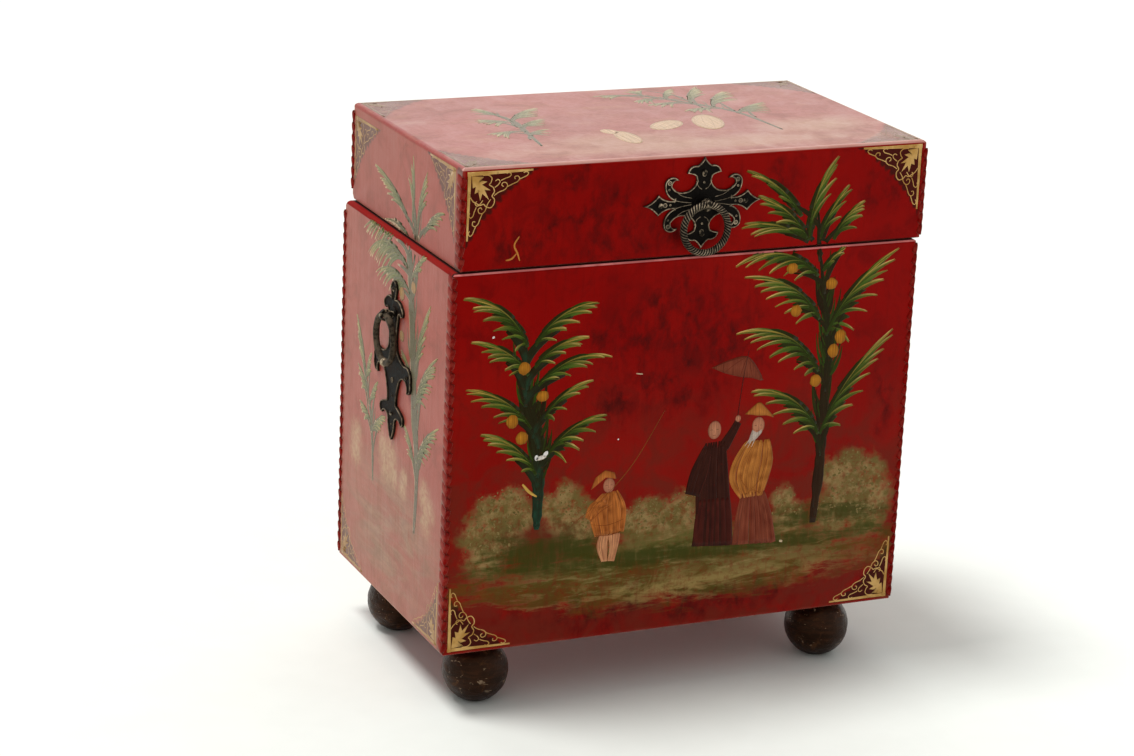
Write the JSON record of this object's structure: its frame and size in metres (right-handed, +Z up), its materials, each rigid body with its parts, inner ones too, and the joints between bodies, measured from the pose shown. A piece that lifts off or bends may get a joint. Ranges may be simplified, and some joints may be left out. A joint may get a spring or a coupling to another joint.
{
  "type": "covered box chest",
  "caption": "Leather-covered box chest with a hinged flat lid, laced corners, cast pulls with hanging rings, and ball feet.",
  "frame": {"origin": "centre of the overall box on the floor, under the closed chest with its rings hanging", "axes": "+X along the front from left to right, +Y from front to back, +Z up"},
  "size_m": [0.4484, 0.2646, 0.462],
  "materials": {
    "red_leather": "lacquered and painted, satin",
    "lacing_leather": "lacquered, satin",
    "carcase_wood": "bare, matt",
    "foot_wood": "stained dark, scuffed, satin",
    "pull_iron": "blackened, worn bright on the edges",
    "hinge_brass": "dull",
    "fixing_steel": "dull"
  },
  "bodies": {
    "base": {"base_cover": "red_leather", "base_front_left_lacing": "lacing_leather", "base_front_right_lacing": "lacing_leather", "base_back_right_lacing": "lacing_leather", "base_back_left_lacing": "lacing_leather", "base_front_board": "carcase_wood", "base_back_board": "carcase_wood", "base_left_board": "carcase_wood", "base_right_board": "carcase_wood", "base_floor_board": "carcase_wood", "front_left_foot": "foot_wood", "front_right_foot": "foot_wood", "back_left_foot": "foot_wood", "back_right_foot": "foot_wood", "left_pull_plate": "pull_iron", "left_pull_eye": "pull_iron", "right_pull_plate": "pull_iron", "right_pull_eye": "pull_iron", "left_hinge_base_leaf": "hinge_brass", "left_hinge_pin": "hinge_brass", "right_hinge_base_leaf": "hinge_brass", "right_hinge_pin": "hinge_brass", "foot_screws": "fixing_steel", "hinge_base_screws": "fixing_steel", "left_pull_nails": "fixing_steel", "left_pull_nut": "fixing_steel", "right_pull_nails": "fixing_steel", "right_pull_nut": "fixing_steel"},
    "lid": {"lid_cover": "red_leather", "lid_front_left_lacing": "lacing_leather", "lid_front_right_lacing": "lacing_leather", "lid_back_right_lacing": "lacing_leather", "lid_back_left_lacing": "lacing_leather", "lid_front_board": "carcase_wood", "lid_back_board": "carcase_wood", "lid_left_board": "carcase_wood", "lid_right_board": "carcase_wood", "lid_top_board": "carcase_wood", "left_hinge_lid_leaf": "hinge_brass", "right_hinge_lid_leaf": "hinge_brass", "hinge_lid_screws": "fixing_steel", "front_pull_plate": "pull_iron", "front_pull_eye": "pull_iron", "front_pull_nut": "fixing_steel", "front_pull_nails": "fixing_steel"},
    "front_ring": {"front_pull_ring": "pull_iron"},
    "left_ring": {"left_pull_ring": "pull_iron"},
    "right_ring": {"right_pull_ring": "pull_iron"}
  },
  "joints": [
    {"name": "lid_hinge", "type": "hinge", "parent": "base", "child": "lid", "pos_m": [0, 0.12585, 0.37725], "axis": [-1, 0, 0], "range_deg": [0, 100]},
    {"name": "front_ring_swing", "type": "hinge", "parent": "lid", "child": "front_ring", "pos_m": [0.0068, -0.12715, 0.4215], "axis": [-1, 0, 0], "range_deg": [0, 165]},
    {"name": "left_ring_swing", "type": "hinge", "parent": "base", "child": "left_ring", "pos_m": [-0.219, 0.00535, 0.3095], "axis": [0, 1, 0], "range_deg": [0, 165]},
    {"name": "right_ring_swing", "type": "hinge", "parent": "base", "child": "right_ring", "pos_m": [0.219, 0.00535, 0.3095], "axis": [0, -1, 0], "range_deg": [0, 165]}
  ]
}
